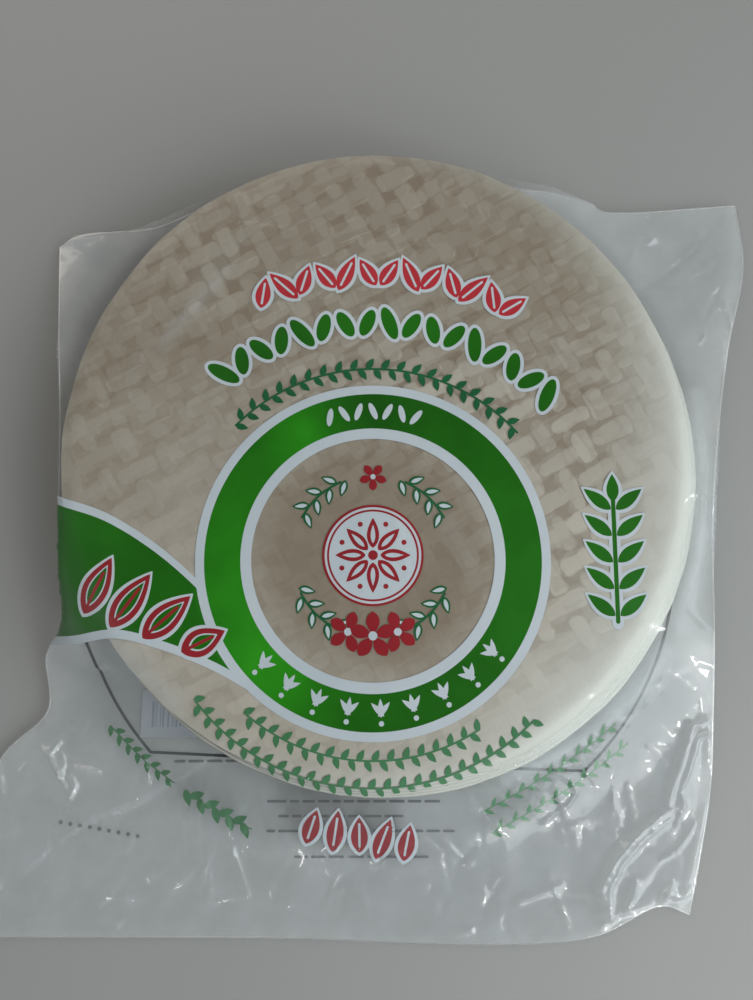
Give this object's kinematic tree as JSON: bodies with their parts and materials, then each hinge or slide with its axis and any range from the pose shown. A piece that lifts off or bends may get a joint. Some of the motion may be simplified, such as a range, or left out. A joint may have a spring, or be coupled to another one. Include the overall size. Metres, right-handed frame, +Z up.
{
  "type": "rice paper wrapper stack",
  "caption": "Round translucent rice paper wrappers stacked in a clear sealed bag with a printed ring, lying flat with a slack flap at one end.",
  "frame": {"origin": "underside of the bag, below the centre of the top sheet", "axes": "+Z up out of the stack's flat top, +Y towards the end of the bag that the stack fills, -Y towards the slack flap"},
  "size_m": [0.2918, 0.281, 0.0248],
  "materials": {
    "film": "clear film over pale beige sheets",
    "rice_paper": "translucent, woven relief",
    "ink_green": "printed",
    "ink_white": "printed",
    "ink_red": "printed",
    "ink_dark": "printed"
  },
  "bodies": {
    "root": {"rice_paper_pack": "film"}
  },
  "joints": []
}
